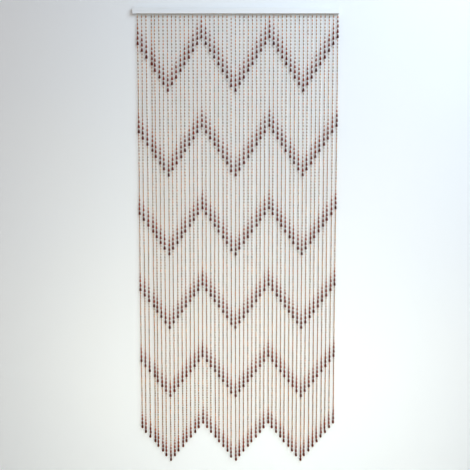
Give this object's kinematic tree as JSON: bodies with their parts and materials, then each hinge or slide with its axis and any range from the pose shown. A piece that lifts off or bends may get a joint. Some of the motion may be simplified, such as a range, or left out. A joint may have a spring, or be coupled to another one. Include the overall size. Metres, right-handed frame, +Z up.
{
  "type": "beaded door curtain with header rail",
  "caption": "Door curtain of slim wooden bead strands with graded dark teardrop beads in chevron rows and a chevron hem, hung from a plain white header rail.",
  "frame": {"origin": "middle of the header rail's back face, the face that goes against the wall", "axes": "+Z up, X along the rail with +X to the right seen from the front, the front faces -Y and +Y points into the wall"},
  "size_m": [0.9, 0.016, 2.0334],
  "materials": {
    "rail_paint": "white painted softwood, satin",
    "bead_wood": "stained and lacquered turned wood, tan to dark red-brown, soft gloss",
    "cord": "pale cream twisted cord and woven tape"
  },
  "bodies": {
    "root": {"header_rail": "rail_paint", "strands_left": "bead_wood", "strands_middle": "bead_wood", "strands_right": "bead_wood"}
  },
  "joints": []
}
